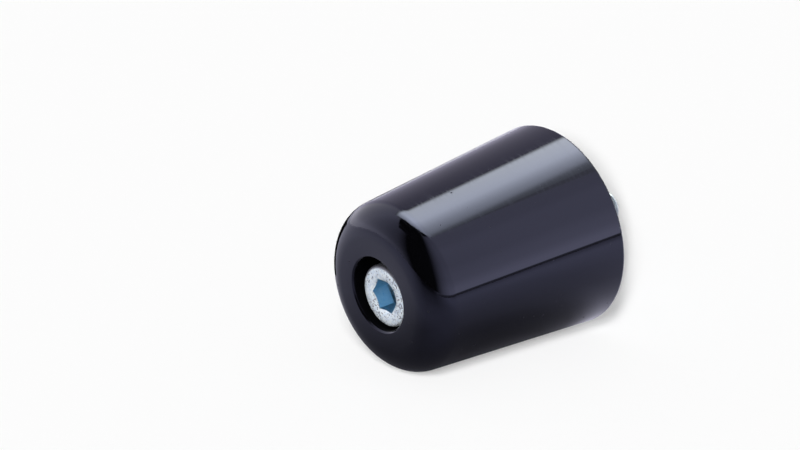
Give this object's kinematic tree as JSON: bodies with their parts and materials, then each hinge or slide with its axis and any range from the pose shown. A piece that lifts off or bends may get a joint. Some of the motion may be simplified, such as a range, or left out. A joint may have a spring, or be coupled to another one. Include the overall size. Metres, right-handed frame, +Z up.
{
  "type": "bar end weight",
  "caption": "Tapered gloss black weight for the end of a motorbike handlebar, with a rounded nose and a hex socket cap screw sunk in a counterbore.",
  "frame": {"origin": "centre of the flat seat face that stands against the end of the handlebar", "axes": "+Y along the weight's axis into the handlebar, with the nose at -Y; +Z up; +X to the right seen from the nose"},
  "size_m": [0.033, 0.0483, 0.033],
  "materials": {
    "gloss_black": "gloss black coat over turned steel",
    "zinc_plate": "bright blue-white zinc plate"
  },
  "bodies": {
    "root": {"weight_body": "gloss_black", "cap_screw": "zinc_plate"}
  },
  "joints": []
}
